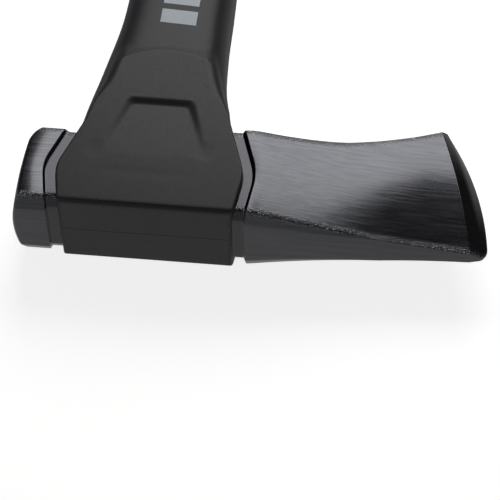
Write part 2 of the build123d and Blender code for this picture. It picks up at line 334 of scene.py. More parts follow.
# circles through three points of the plan, in millimetres: X, Z of the cheek, and X, Y of the rest
CHEEK_CURVE = ((46.0, 24.0), (90.0, 12.1), (140.0, 4.2))
EDGE_CURVE = ((130.2, 43.0), (144.3, 13.3), (149.4, -13.0))
BEVEL_CURVE = ((126.6, 41.5), (135.6, 13.0), (141.8, -18.0))
CROWN_CURVE = ((38.0, -17.7), (95.0, -16.4), (149.9, -17.3))
# the blade's underside, in millimetres: X, Y
UNDERSIDE = (
    (30.0, 27.4),
    (38.0, 27.4),
    (68.0, 28.0),
    (90.0, 30.0),
    (110.0, 34.9),
    (127.0, 40.9),
    (131.0, 43.3),
    (140.0, 48.0),
)
TOE_RADIUS = 4.0
CHEEK_STEPS, NARROW_STEPS, BEVEL_STEPS, ARC_STEPS = 40, 10, 2, 4


def head_section(crown, under, half, flat, rise, rounding):
    """An octagon across the head as (Y, Z) points: narrow faces at crown and underside, long bevels between."""
    corners = (
        (crown, -flat),
        (crown + rise, -half),
        (under - rise, -half),
        (under, -flat),
        (under, flat),
        (under - rise, half),
        (crown + rise, half),
        (crown, flat),
    )
    sides = (BEVEL_STEPS, CHEEK_STEPS, BEVEL_STEPS, NARROW_STEPS) * 2
    return rounded_polygon(corners, (rounding,) * 8, ARC_STEPS, sides)


# the chamfered rim: how far in from the sides and how far back from the face, as shares of the rim
RIM_PROFILE = ((1.0, 0.0), (0.93, 0.02), (0.6, 0.33), (0.35, 0.58), (0.15, 0.82), (0.05, 1.05), (0.0, 1.35))
FLAT_INSET = 0.45  # how far the section's narrow faces come in, as a share of how far its sides do
FACE_ROUND, FACE_CORNER_START, BOX_MARGIN = 1.2 * MM, 12 * MM, 0.05 * MM


def face_rings(head):
    """The striking face: domed, leaning with the edge, with a narrow chamfered rim and a round underside corner."""
    crown, under, flat, rise = (v * MM for v in POLL_SECTION)
    middle_y = (crown + under) / 2
    lean = math.tan(head.face_tilt)
    rim = head.face_rim

    def inset_section(inset, rounding):
        """The poll's section, drawn in all round."""
        half = head.cheek_half - inset
        return head_section(crown + inset, under - inset, half, flat - FLAT_INSET * inset, rise, rounding)

    rings = []
    face_section = inset_section(rim, FACE_ROUND)
    for share in (0.0, 0.1, 0.2, 0.35, 0.5, 0.65, 0.8, 0.9, 0.96):
        rings.append([(middle_y + (y - middle_y) * share, z * share, 0.0) for y, z in face_section])
    for inset, back in RIM_PROFILE:
        section = inset_section(inset * rim, lerp(head.edge_round, FACE_ROUND, inset))
        rings.append([(y, z, back * rim) for y, z in section])

    def back_of(y, z, back):
        dome = (y - middle_y) ** 2 / (2 * head.face_dome_y) + z**2 / (2 * head.face_dome_z)
        corner = max(y - FACE_CORNER_START, 0) ** 2 / (2 * head.face_corner)
        return lean * (y - middle_y) + dome + corner + back

    front = min(back_of(y, z, back) for ring in rings for y, z, back in ring)
    start = HEAD_LOW.x - front + BOX_MARGIN
    return [[Vector((start + back_of(y, z, back), y, MIDDLE_Z + z)) for y, z, back in ring] for ring in rings]


# the step between poll or blade and collar: distance from the shroud in millimetres, and share of the way down
STEP_PROFILE = (
    (5.9, 0.0),
    (5.7, 0.02),
    (5.52, 0.08),
    (5.4, 0.2),
    (4.75, 0.8),
    (4.6, 0.9),
    (4.4, 0.96),
    (4.15, 0.99),
    (3.7, 1.0),
)
# the collar's end inside the shroud, and its step down to the waist, in the same terms
WAIST_PROFILE = ((1.0, 0.0), (-3.0, 0.0), (-5.0, 1.0), (-12.0, 1.0))


def ring_across(section, x_of):
    """Places a section's points across the head; X follows Y."""
    return [Vector((x_of(y), y, MIDDLE_Z + z)) for y, z in section]


def mixed_section(outer, inner, share, rounding):
    """The section between two, each a table and its half thickness, at a share of the way to the inner one."""
    crown, under, flat, rise = (lerp(a, b, share) * MM for a, b in zip(outer[0], inner[0]))
    return head_section(crown, under, lerp(outer[1], inner[1], share), flat, rise, rounding)


def poll_rings(shroud, head):
    """The poll's body, its step down to the left collar, and the waist inside the shroud."""
    rings = []
    poll = (POLL_SECTION, head.cheek_half)
    collar = (COLLAR_LEFT_SECTION, head.poll_collar_half)
    waist = (HIDDEN_SECTION, head.hidden_half)
    for outer, inner, places in ((poll, collar, ((9.0, 0.0),) + STEP_PROFILE), (collar, waist, WAIST_PROFILE)):
        for away, share in places:
            section = mixed_section(outer, inner, share, head.edge_round)
            rings.append(ring_across(section, lambda y, away=away: left_side(shroud, y, away * MM)))
    return rings


# the long bevels beside the blade's narrow faces: where they start, how long they run,
# and their rise along Y and drop along Z, in millimetres, at the edge and at the root
ROOT_X, ROOT_LENGTH = 46 * MM, 56 * MM
RISES, DROPS = (0.12, 2.4), (0.3, 7.3)


def blade_rings(shroud, head):
    """The right collar, the step up to the blade, its hollow cheeks, and the ground bevel of the edge."""
    rings = []
    collar, waist = (COLLAR_RIGHT_SECTION, head.collar_half), (HIDDEN_SECTION, head.hidden_half)
    for away, share in reversed(WAIST_PROFILE):
        section = mixed_section(collar, waist, share, head.edge_round)
        rings.append(ring_across(section, lambda y, away=away: right_side(shroud, y, away * MM)))

    cheek_x, cheek_z, cheek_radius = circle_through(CHEEK_CURVE)
    edge_x, edge_y, edge_radius = circle_through(EDGE_CURVE)
    bevel_x, bevel_y, bevel_radius = circle_through(BEVEL_CURVE)
    crown_x, crown_y, crown_radius = circle_through(CROWN_CURVE)

    def cheek_half(x):
        hollow = cheek_z - math.sqrt(cheek_radius**2 - (x - cheek_x) ** 2)
        return soft_min(hollow, head.cheek_half, 0.4 * MM)

    def crown_line(x):
        return crown_y + math.sqrt(crown_radius**2 - (x - crown_x) ** 2)

    def underside_line(x):
        return along(UNDERSIDE, x)[0]

    def edge_line(y):
        return edge_x + math.sqrt(edge_radius**2 - (y - edge_y) ** 2)

    def bevel_line(y):
        return bevel_x + math.sqrt(bevel_radius**2 - (y - bevel_y) ** 2)

    toe_y = crown_line(edge_line(-17.0 * MM)) + TOE_RADIUS * MM
    toe_x = edge_line(toe_y) - TOE_RADIUS * MM * 1.02

    def round_toe(x, y):
        """Keeps a point of the plan inside the rounded corner at the toe."""
        if x > toe_x and y < toe_y:
            away = math.hypot(x - toe_x, y - toe_y)
            if away > TOE_RADIUS * MM:
                share = TOE_RADIUS * MM / away
                return toe_x + (x - toe_x) * share, toe_y + (y - toe_y) * share
        return x, y

    def blade_ring(x_of, half_of, share=0.0):
        """One ring whose ends lie on the crown line and on the underside, at the X that x_of gives there."""
        crown, under = crown_line(60 * MM), underside_line(60 * MM)
        for _ in range(6):
            crown, under = crown_line(x_of(crown)), underside_line(x_of(under))
        x_crown = x_of(crown)
        fade = 1 - clamp((x_crown - ROOT_X) / ROOT_LENGTH)
        rise, drop = (lerp(at_edge, at_root, fade) * MM for at_edge, at_root in (RISES, DROPS))
        crown = lerp(crown, COLLAR_RIGHT_SECTION[0] * MM, share)
        under = lerp(under, COLLAR_RIGHT_SECTION[1] * MM, share)
        rise = lerp(rise, COLLAR_RIGHT_SECTION[3] * MM, share)
        middle = half_of(x_crown, crown)
        middle = lerp(middle, head.collar_half, share)
        flat = lerp(max(middle - drop, 0.55 * middle), COLLAR_RIGHT_SECTION[2] * MM, share)
        rounding = min(head.edge_round, 0.5 * middle)
        section = head_section(crown, under, middle, flat, rise, rounding)
        points = []
        for y, z in section:
            x = x_of(y)
            half = lerp(half_of(x, y), head.collar_half, share)
            half += (1 - share) * cheek_bulge(head, x, y) * clamp((half - head.edge_land) / (2 * MM))
            x, y = round_toe(x, y)
            points.append(Vector((x, y, MIDDLE_Z + z / middle * half)))
        return points

    for away, share in reversed(STEP_PROFILE):
        rings.append(blade_ring(lambda y: right_side(shroud, y, away * MM), lambda x, y: cheek_half(x), share=share))

    for k in range(1, 31):
        share = min(k / 30, 0.996)
        rings.append(
            blade_ring(
                lambda y: lerp(right_side(shroud, y, STEP_PROFILE[0][0] * MM), bevel_line(y), share),
                lambda x, y: cheek_half(x),
            )
        )
    # the ground bevel starts at a crisp line, and runs flat to the edge
    for share in (0.0, 0.04, 0.1, 0.25, 0.4, 0.55, 0.7, 0.85, 0.95, 1.0):
        rings.append(
            blade_ring(
                lambda y: lerp(bevel_line(y), edge_line(y), share),
                lambda x, y: lerp(cheek_half(bevel_line(y)), head.edge_land, share),
            )
        )
    rings.append([Vector((p.x, p.y, MIDDLE_Z)) for p in rings[-1]])
    return rings


def cheek_bulge(head, x, y):
    """How much the blade's cheek stands out between its crown ridge and a line that runs up towards the edge."""
    slope_here = head.cheek_crown * ramp((x - 66 * MM) / (44 * MM))
    ridge_y = -15.0 * MM
    crest_y = lerp(-12.0, 20.0, clamp((x - 78 * MM) / (44 * MM))) * MM
    return slope_here * (soft_max(crest_y - ridge_y, 0, 14 * MM) - soft_max(crest_y - y, 0, 14 * MM))


def ridge_mark(y, z, head):
    """1 on the long ridges between the cheeks and their bevels, 0 away from them."""
    from_ridge = min(math.hypot(y - ridge, abs(z) - head.cheek_half) for ridge in (-14.7 * MM, 24 * MM))
    return 1.0 - ramp((from_ridge - 0.7 * MM) / (1.6 * MM))


def build_head(shroud, head):
    """One forging, from the striking face to the cutting edge."""
    face, poll, blade = face_rings(head), poll_rings(shroud, head), blade_rings(shroud, head)
    outline = head_section(-17.7 * MM, 27 * MM, head.cheek_half, 16.5 * MM, 3 * MM, head.edge_round)
    ridges = [ridge_mark(y, z, head) for y, z in outline]
    # the face, the poll's body and the blade are ground; the steps, the collars and the waist are as forged
    steps = len(STEP_PROFILE)
    forged = [0.0] * (len(face) + 3) + [1.0] * (len(poll) - 3 + steps + 2) + [0.0] * (len(blade) - steps - 2)
    return loft("steel_head_forging", face + poll + blade, ridges, forged)


# ---------------------------------------------------------------- handle jacket
# stations along the handle, in millimetres: Y, centre X, half width, half height
HANDLE_STATIONS = (
    (-18.0, 1.4, 30.0, 17.0),
    (5.0, 1.4, 37.0, 21.4),
    (30.0, 1.8, 33.2, 23.2),
    (55.0, 2.5, 27.6, 24.5),
    (80.0, 4.6, 24.3, 23.45),
    (105.0, 6.2, 23.4, 22.0),
    (130.0, 7.4, 22.4, 20.5),
    (195.0, 8.7, 20.9, 18.2),
    (260.0, 10.0, 19.6, 17.0),
    (390.0, 11.5, 18.8, 15.8),
    (520.0, 12.6, 18.6, 15.8),
    (560.0, 12.9, 18.3, 15.7),
    (650.0, 13.6, 17.8, 15.4),
    (730.0, 14.8, 18.8, 16.2),
    (775.0, 17.0, 21.4, 17.6),
    (800.0, 19.0, 24.2, 18.6),
    (812.0, 20.0, 25.6, 19.0),
)
NECK_POWER, GRIP_POWER = 4.4, 3.0  # how square the section is: 2 is an oval
TOP_STEPS, SIDE_STEPS = 96, 28
PAD_INSET = 4.8 * MM  # how much narrower the pad's top is than the neck
NECK_START = 12 * MM
# sinks in the cheeks, in millimetres: X, Y, half widths along X and Y, depth
SINKS = ((-23.0, 10.0, 4.0, 4.0, 0.1), (24.5, 12.0, 4.0, 4.0, 0.1), (0.0, -0.5, 22.0, 2.2, 0.05))
SLEEVE_RECESS = 1.7 * MM


def oval_reach(half_width, half_height, dx, dz, power):
    """How far the handle's section reaches from its centre in a direction."""
    share = (abs(dx) / half_width) ** power + (abs(dz) / half_height) ** power
    return share ** (-1 / power)


def keystone_cut(shroud, x, y):
    """Depth of the keystone recess in a cheek: full at its straight top edge, running out towards its foot."""
    share = clamp((y - shroud.keystone_foot_y) / (shroud.keystone_top_y - shroud.keystone_foot_y))
    left = lerp(-22.5, -11.2, share) * MM
    right = lerp(27.6, 18.0, share) * MM
    inside = soft_min(soft_min(x - left, right - x, 2 * MM), shroud.keystone_top_y - y, 2.2 * MM)
    return shroud.keystone_depth * share**1.2 * ramp(inside / shroud.keystone_wall)


def sink_depth(x, y):
    """Depth of the faint sinks in the cheeks, over the thick places inside the moulding."""
    depth = 0.0
    for sink_x, sink_y, width_x, width_y, deep in SINKS:
        away = ((x / MM - sink_x) / width_x) ** 2 + ((y / MM - sink_y) / width_y) ** 2
        depth += deep * MM * math.exp(-(away**2))
    return depth


def jacket_ring(shroud, base_y, inset=0.0, shrink=0.0):
    """One ring round the jacket: a flat-cheeked shroud and its pad, joined to the oval of the neck and shaft."""
    centre_x, half_width, half_height = along(HANDLE_STATIONS, base_y)
    left, right = pad_sides(shroud, base_y)
    left, right = left + 0.5 * inset, right - 0.5 * inset
    height = HALF_SHROUD - inset
    oval_share = ramp((base_y - 52 * MM) / (26 * MM))
    edge_left = lerp(left, centre_x - 0.7 * half_width, oval_share)
    edge_right = lerp(right, centre_x + 0.7 * half_width, oval_share)
    # beyond the keystone the rings bend to follow the arch, and further on they straighten again
    bend = ramp((base_y - 40 * MM) / (22 * MM)) * (1 - ramp((base_y - 66 * MM) / (50 * MM)))

    targets = []
    for k in range(TOP_STEPS):
        share = k / TOP_STEPS
        share = lerp(share, 0.5 - 0.5 * math.cos(math.pi * share), 0.5)
        targets.append((lerp(edge_left, edge_right, share), height))
    for k in range(SIDE_STEPS):
        # close together at the cheeks, apart at the middle
        share = math.sin((2 * k / SIDE_STEPS - 1) * math.pi / 2)
        targets.append((edge_right, -height * share))
    targets += [(edge_left + edge_right - x, -z) for x, z in targets]

    points = []
    for target_x, target_z in targets:
        across = min(abs(target_x - shroud.arch_x), 0.95 * shroud.arch_radius)
        y = base_y + bend * (math.sqrt(shroud.arch_radius**2 - across**2) - shroud.arch_radius)
        points.append(jacket_point(shroud, target_x, target_z, y, inset, shrink))
    return points


def jacket_point(shroud, target_x, target_z, y, inset, shrink):
    """The point of the jacket's surface in the direction of a target, seen from the handle's centre line."""
    centre_x, half_width, half_height = along(HANDLE_STATIONS, y)
    reach = math.hypot(target_x - centre_x, target_z)
    dx, dz = (target_x - centre_x) / reach, target_z / reach
    left, right = pad_sides(shroud, y)
    side = (right - centre_x if dx > 0 else centre_x - left) - 0.5 * inset
    draft = math.tan(shroud.pad_draft) * ramp((y - 32 * MM) / (16 * MM))
    height = HALF_SHROUD - inset

    top = height
    if y > shroud.arch_y:
        beyond_arch = math.hypot(target_x - shroud.arch_x, y - shroud.arch_y) - shroud.arch_radius
        top = max(height - math.tan(shroud.arch_slope) * soft_max(beyond_arch, 0, 0.4 * MM), 2 * MM)
    if inset == 0:
        top -= keystone_cut(shroud, target_x, y) + sink_depth(target_x, y)
    to_top = top / max(abs(dz), 1e-5)
    to_side = (side + draft * height) / max(abs(dx) + draft * abs(dz), 1e-5)
    fillet = lerp(shroud.cheek_fillet, shroud.pad_fillet, ramp((y - 30 * MM) / (18 * MM)))
    distance = soft_min(to_top, to_side, fillet)
    if y > NECK_START:
        power = lerp(NECK_POWER, GRIP_POWER, ramp((y - 110 * MM) / (300 * MM)))
        oval = oval_reach(half_width - shrink, half_height - shrink, dx, dz, power)
        distance = soft_max(distance, oval, 0.3 * MM)
        distance += shroud.flash * math.exp(-((dz * distance / (0.35 * MM)) ** 2))
    return Vector((centre_x + dx * distance, y, MIDDLE_Z + dz * distance))


def spread(start, end, steps):
    """Places from start to end, leaving out the end."""
    return [lerp(start, end, k / steps) for k in range(steps)]


def build_jacket(shroud):
    """The shroud, neck and shaft as one moulding."""
    crown_y, fillet = shroud.crown_y, shroud.crown_fillet
    flat_ring = jacket_ring(shroud, crown_y, inset=fillet)
    rings = []
    half = HALF_SHROUD - fillet
    # the crown face, closed along the line where the two halves of the mould meet
    for height in (0.0, 0.12, 0.25, 0.42, 0.7, 1.2, 3.0, 6.0, 10.0, 14.0, 18.0, 21.0):
        share = height * MM / half
        flash = shroud.flash * clamp(1 - height / 0.42)
        rings.append([Vector((p.x, crown_y - flash, MIDDLE_Z + (p.z - MIDDLE_Z) * share)) for p in flat_ring])
    for k in range(7):
        angle = k / 6 * math.pi / 2
        ring = jacket_ring(shroud, crown_y + fillet * (1 - math.cos(angle)), inset=fillet * (1 - math.sin(angle)))
        rings.append(ring)
    places = spread(crown_y + fillet + 1 * MM, 30 * MM, 44)
    for low, high, count in ((30, 40, 16), (40, 58, 16), (58, 70, 26), (70, 90, 12), (90, 130, 12)):
        places += spread(low * MM, high * MM, count)
    places += spread(130 * MM, SLEEVE_LOW.y, 30) + [SLEEVE_LOW.y]
    rings += [jacket_ring(shroud, y) for y in places]
    recess = spread(SLEEVE_LOW.y + 0.2 * MM, SLEEVE_HIGH.y, 16) + [SLEEVE_HIGH.y]
    rings += [jacket_ring(shroud, y, shrink=SLEEVE_RECESS) for y in recess]
    end = [jacket_ring(shroud, y, shrink=5.5 * MM) for y in (SLEEVE_HIGH.y + 0.1 * MM, JACKET_HIGH.y)]
    middle = sum(end[1], Vector()) / len(end[1])
    end += [[middle.lerp(p, share) for p in end[1]] for share in (0.6, 0.3, 0.0)]
    return loft("handle_moulding", rings + end)


# ---------------------------------------------------------------- grip sleeve
SLEEVE_STEPS = 96
SLEEVE_STAND = 0.5 * MM
COLLAR_LENGTH = 9.0 * MM
# the sleeve's collar and its rounded far end, in millimetres: distance from that end, stand above the shaft
COLLAR_PROFILE = (
    (0.0, -1.7),
    (0.0, 0.3),
    (0.25, 0.9),
    (0.9, 1.25),
    (2.0, 1.3),
    (6.8, 1.3),
    (8.1, 1.22),
    (8.7, 0.95),
    (9.1, 0.6),
    (9.9, 0.5),
)
FAR_PROFILE = ((0.5, 0.42), (0.12, 0.2), (0.0, -0.2), (0.0, -1.7))


def sleeve_ring(grip, y, grow, ribbed=True):
    """One ring round the sleeve, with ribs across its upper and lower faces."""
    centre_x, half_width, half_height = along(HANDLE_STATIONS, y)
    inside = min(y - SLEEVE_LOW.y - COLLAR_LENGTH - 6 * MM, SLEEVE_HIGH.y - 8 * MM - y)
    wave = 0.5 - 0.5 * math.cos(2 * math.pi * (y - SLEEVE_LOW.y) / grip.rib_pitch)
    points = []
    for k in range(SLEEVE_STEPS):
        angle = 2 * math.pi * k / SLEEVE_STEPS
        dx, dz = math.cos(angle), math.sin(angle)
        reach = oval_reach(half_width + grow, half_height + grow, dx, dz, GRIP_POWER)
        if ribbed:
            face = ramp((abs(dz) - 0.28) / 0.3)
            reach -= grip.rib_depth * wave**3 * face * ramp(inside / (5 * MM))
        points.append(Vector((centre_x + dx * reach, y, MIDDLE_Z + dz * reach)))
    return points


def build_sleeve(grip):
    """The soft sleeve: a collar, then ribs, as a closed tube."""
    low, high = SLEEVE_LOW.y, SLEEVE_HIGH.y
    rings = [sleeve_ring(grip, low + y * MM, grow * MM, ribbed=False) for y, grow in COLLAR_PROFILE]
    first, last = low + 11 * MM, high - 1.2 * MM
    steps = int((high - low - 12 * MM) / grip.rib_pitch * 8)
    rings += [sleeve_ring(grip, lerp(first, last, k / steps), SLEEVE_STAND) for k in range(steps + 1)]
    rings += [sleeve_ring(grip, high - y * MM, grow * MM, ribbed=False) for y, grow in FAR_PROFILE]
    rings += [sleeve_ring(grip, y, -SLEEVE_RECESS, ribbed=False) for y in spread(high - 18 * MM, low + 4 * MM, 14)]
    return loft("grip_sleeve_ribbed", rings + rings[:1])


# ---------------------------------------------------------------- finishes
def add_node(tree, kind, inputs=None, **settings):
    """Adds a node with its settings; each input is a value, or the socket it is linked from."""
    made = tree.nodes.new(kind)
    for name, value in settings.items():
        setattr(made, name, value)
    for name, value in (inputs or {}).items():
        if isinstance(value, bpy.types.NodeSocket):
            tree.links.new(value, made.inputs[name])
        else:
            made.inputs[name].default_value = value
    return made


def new_finish(name):
    """An empty material: its node tree and its Object coordinates."""
    material = bpy.data.materials.new(name)
    material.use_nodes = True
    tree = material.node_tree
    tree.nodes.clear()
    place = add_node(tree, "ShaderNodeTexCoord").outputs["Object"]
    return material, tree, place


def close_finish(tree, inputs):
    """Ends a material with a Principled surface that has these inputs."""
    surface = add_node(tree, "ShaderNodeBsdfPrincipled", inputs)
    add_node(tree, "ShaderNodeOutputMaterial", {"Surface": surface.outputs["BSDF"]})


def noise(tree, place, millimetres, detail=2.0, stretch=None):
    """A noise whose features are that many millimetres across, drawn out along an axis if asked."""
    if stretch:
        place = add_node(tree, "ShaderNodeMapping", {"Vector": place, "Scale": stretch}).outputs["Vector"]
    sockets = {"Vector": place, "Scale": 1 / (millimetres * MM), "Detail": detail}
    return add_node(tree, "ShaderNodeTexNoise", sockets).outputs["Fac"]


def between(tree, factor, low, high):
    """A value that goes from low to high over the middle of a noise's range."""
    inputs = {"Value": factor, "From Min": 0.3, "From Max": 0.7, "To Min": low, "To Max": high}
    return add_node(tree, "ShaderNodeMapRange", inputs).outputs["Result"]


def blend(tree, factor, first, second):
    """A colour between two colours."""
    mixed = add_node(tree, "ShaderNodeMix", data_type="RGBA")
    sockets = {s.identifier: s for s in mixed.inputs}
    for key, value in (("Factor_Float", factor), ("A_Color", first), ("B_Color", second)):
        if isinstance(value, bpy.types.NodeSocket):
            tree.links.new(value, sockets[key])
        else:
            sockets[key].default_value = value
    return next(o for o in mixed.outputs if o.identifier == "Result_Color")


def duller(shade, share):
    """A colour at a share of its brightness."""
    return (*(share * c for c in shade[:3]), 1.0)


def raised(tree, height, millimetres, strength=1.0, under=None):
    """A normal bumped by a height, on top of another bump if given."""
    inputs = {"Height": height, "Strength": strength, "Distance": millimetres * MM}
    if under:
        inputs["Normal"] = under
    return add_node(tree, "ShaderNodeBump", inputs).outputs["Normal"]


def maths(tree, operation, *values):
    """A Math node's result."""
    return add_node(tree, "ShaderNodeMath", dict(enumerate(values)), operation=operation).outputs[0]


def lacquered_steel(colours):
    """Forged and ground steel under thin black lacquer: dark and glossy, the grinding lines showing through."""
    material, tree, place = new_finish("forged_steel_black_lacquer")
    # grinding lines along the head; they are 0.1 to 0.3 mm apart, and drawn about 0.8 mm apart so that they show
    lines = noise(tree, place, 0.8, 3.0, (0.02, 1.0, 0.4))
    skin = noise(tree, place, 0.6, 2.0)
    # the steps and collars keep their forged skin; the long ridges get painted glints, bright specks in the colour
    # that stand in for highlights
    forged = add_node(tree, "ShaderNodeAttribute", attribute_name="forged").outputs["Fac"]
    ridge = add_node(tree, "ShaderNodeAttribute", attribute_name="ridge").outputs["Fac"]
    tone = blend(tree, between(tree, lines, 0.0, 1.0), tuple(colours.steel_dark), tuple(colours.steel_light))
    tone = blend(tree, forged, tone, tuple(colours.steel_forged))
    # painted glints: bright specks where the skin noise is high, on the ridge mark
    painted_glints = maths(tree, "MULTIPLY", maths(tree, "GREATER_THAN", skin, 0.6), ridge)
    tone = blend(tree, painted_glints, tone, tuple(colours.steel_glint_speck))
    ground = raised(tree, lines, 0.014, 1.0)
    rough = raised(tree, skin, 0.06, maths(tree, "MULTIPLY", forged, 0.5), ground)
    close_finish(
        tree,
        {
            "Base Color": tone,
            "Metallic": 1.0,
            "Roughness": between(tree, lines, 0.15, 0.21),
            "Normal": raised(tree, skin, 0.6, ridge, rough),
            "Coat Weight": 0.6,
            "Coat Roughness": 0.1,
        },
    )
    return material


def moulded_nylon(name, colours, roughness, print_settings=None):
    """Glass-filled nylon, moulded in a spark-eroded tool: black, its gloss dulled by a fine even grain."""
    material, tree, place = new_finish(name)
    # the tool's grain is about 0.1 mm; it is drawn about 0.7 mm across so that it shows
    grain = noise(tree, place, 0.7, 3.0)
    flow = noise(tree, place, 35.0, 3.0)
    tone = blend(tree, between(tree, flow, 0.0, 1.0), tuple(colours.nylon_dark), tuple(colours.nylon_light))
    gloss = between(tree, grain, roughness - 0.05, roughness + 0.05)
    if print_settings:
        mask = print_mask(tree, place, print_settings)
        tone = blend(tree, mask, tone, tuple(colours.ink))
    close_finish(
        tree,
        {
            "Base Color": tone,
            "Roughness": gloss,
            "Normal": raised(tree, grain, 0.03, 1.0),
            "IOR": 1.53,
            "Specular IOR Level": 0.42,
        },
    )
    return material


def print_mask(tree, place, settings):
    """1 on the pad-printed bars, 0 elsewhere: bars across the handle, in line with its lean."""
    turned = add_node(
        tree,
        "ShaderNodeMapping",
        {"Vector": place, "Location": (settings.centre, settings.start, 0), "Rotation": (0, 0, -settings.lean)},
        vector_type="TEXTURE",
    )
    parts = add_node(tree, "ShaderNodeSeparateXYZ", {"Vector": turned.outputs["Vector"]})
    along_print, across = parts.outputs["Y"], parts.outputs["X"]
    from_bar = maths(tree, "PINGPONG", maths(tree, "SUBTRACT", along_print, settings.bar / 2), settings.pitch / 2)
    bars = maths(tree, "LESS_THAN", from_bar, settings.bar / 2)
    width = maths(tree, "LESS_THAN", maths(tree, "ABSOLUTE", across), settings.half)
    from_middle = maths(tree, "ABSOLUTE", maths(tree, "SUBTRACT", along_print, 3 * settings.pitch))
    whole = maths(tree, "LESS_THAN", from_middle, 3.1 * settings.pitch)
    return maths(tree, "MULTIPLY", maths(tree, "MULTIPLY", bars, width), whole)


def soft_rubber(colours):
    """Thermoplastic rubber, moulded over the nylon: black, matt, with a fine bloom."""
    material, tree, place = new_finish("moulded_soft_rubber")
    grain = noise(tree, place, 0.9, 3.0)
    bloom = noise(tree, place, 22.0, 3.0)
    tone = blend(tree, between(tree, bloom, 0.0, 1.0), duller(colours.grip, 0.8), tuple(colours.grip))
    gloss = between(tree, grain, 0.58, 0.72)
    close_finish(tree, {"Base Color": tone, "Roughness": gloss, "Normal": raised(tree, grain, 0.04), "IOR": 1.5})
    return material


def glass_fibre(colours):
    """Pultruded glass fibre in polyester: straw yellow, with the rovings running along it."""
    material, tree, place = new_finish("pultruded_glass_fibre")
    rovings = noise(tree, place, 0.6, 3.0, (1.0, 0.02, 1.0))
    tone = blend(tree, between(tree, rovings, 0.0, 1.0), duller(colours.rod, 0.6), tuple(colours.rod))
    gloss = between(tree, rovings, 0.3, 0.45)
    close_finish(tree, {"Base Color": tone, "Roughness": gloss, "Normal": raised(tree, rovings, 0.03), "IOR": 1.54})
    return material


def cast_epoxy(colours):
    """Cast epoxy: amber and glossy, with slight swirls."""
    material, tree, place = new_finish("cast_epoxy")
    swirl = noise(tree, place, 6.0, 3.0)
    tone = blend(tree, between(tree, swirl, 0.0, 1.0), duller(colours.epoxy, 0.7), tuple(colours.epoxy))
    close_finish(tree, {"Base Color": tone, "Roughness": between(tree, swirl, 0.15, 0.3), "IOR": 1.56})
    return material


def pale_backdrop(name, colours, glow):
    """Pale matt paper with a very slight mottle, lit evenly from below so that shadows on it stay faint."""
    material, tree, place = new_finish("pale_paper_" + name)
    mottle = noise(tree, place, 300.0, 2.0)
    tone = blend(tree, between(tree, mottle, 0.0, 1.0), duller(colours.floor, 0.985), tuple(colours.floor))
    close_finish(tree, {"Base Color": tone, "Roughness": 0.9, "Emission Color": WHITE, "Emission Strength": glow})
    return material


# ---------------------------------------------------------------- stage
CAMERA_AZIMUTH, CAMERA_ELEVATION = math.radians(4.8), math.radians(62.0)
CAMERA_DISTANCE, CAMERA_LENS = 1.1, 178.2
CAMERA_TARGET = Vector((45.8, -7.5, 0.0)) * MM


def towards(azimuth, elevation):
    """Unit vector from the maul towards a direction; azimuth 0 is -Y, and grows towards +X."""
    return Vector(
        (math.sin(azimuth) * math.cos(elevation), -math.cos(azimuth) * math.cos(elevation), math.sin(elevation))
    )


def aim(thing, place, target):
    """Puts a camera or a light at a place, pointed at a target, level with the horizon."""
    thing.location = place
    thing.rotation_euler = (target - place).to_track_quat("-Z", "Y").to_euler()


def add_softbox(name, place, target, width, height, power, tint=(1.0, 1.0, 1.0)):
    """A large soft light."""
    light = bpy.data.lights.new(name, "AREA")
    light.shape = "RECTANGLE"
    light.size, light.size_y = width, height
    light.energy = power
    light.color = tint
    holder = bpy.data.objects.new(name, light)
    bpy.context.scene.collection.objects.link(holder)
    aim(holder, place, target)
    return holder


def add_floor(colours):
    """The floor the maul lies on and a pale dome round it."""
    bm = bmesh.new()
    bmesh.ops.create_grid(bm, x_segments=1, y_segments=1, size=6.0)
    floor = finish_mesh(bm, "floor")
    bm = bmesh.new()
    bmesh.ops.create_uvsphere(bm, u_segments=48, v_segments=24, radius=7.0)
    dome = finish_mesh(bm, "backdrop")
    for thing, glow in ((floor, 0.8), (dome, 1.0)):
        thing.data.materials.append(pale_backdrop(thing.name, colours, glow))
        thing.visible_glossy = False
    dome.visible_diffuse = dome.visible_shadow = False


def add_camera():
    """The camera, above the crown and a little to the edge's side."""
    camera = bpy.data.cameras.new("camera")
    camera.lens, camera.sensor_width = CAMERA_LENS, 36.0
    camera.clip_start, camera.clip_end = 0.05, 50.0
    holder = bpy.data.objects.new("camera", camera)
    bpy.context.scene.collection.objects.link(holder)
    aim(holder, CAMERA_TARGET + towards(CAMERA_AZIMUTH, CAMERA_ELEVATION) * CAMERA_DISTANCE, CAMERA_TARGET)
    bpy.context.scene.camera = holder


# the softbox above: its place, its width and length in metres, how bright its face is, and its turn in plan
SOFTBOX_PLACE, SOFTBOX_WIDTH, SOFTBOX_LENGTH = Vector((0.067, 0.407, 0.35)), 0.42, 0.5
SOFTBOX_RADIANCE, SOFTBOX_TURN = 2.5, math.radians(9)
FILL_AZIMUTH, FILL_ELEVATION, FILL_DISTANCE = math.radians(-30), math.radians(35), 2.0


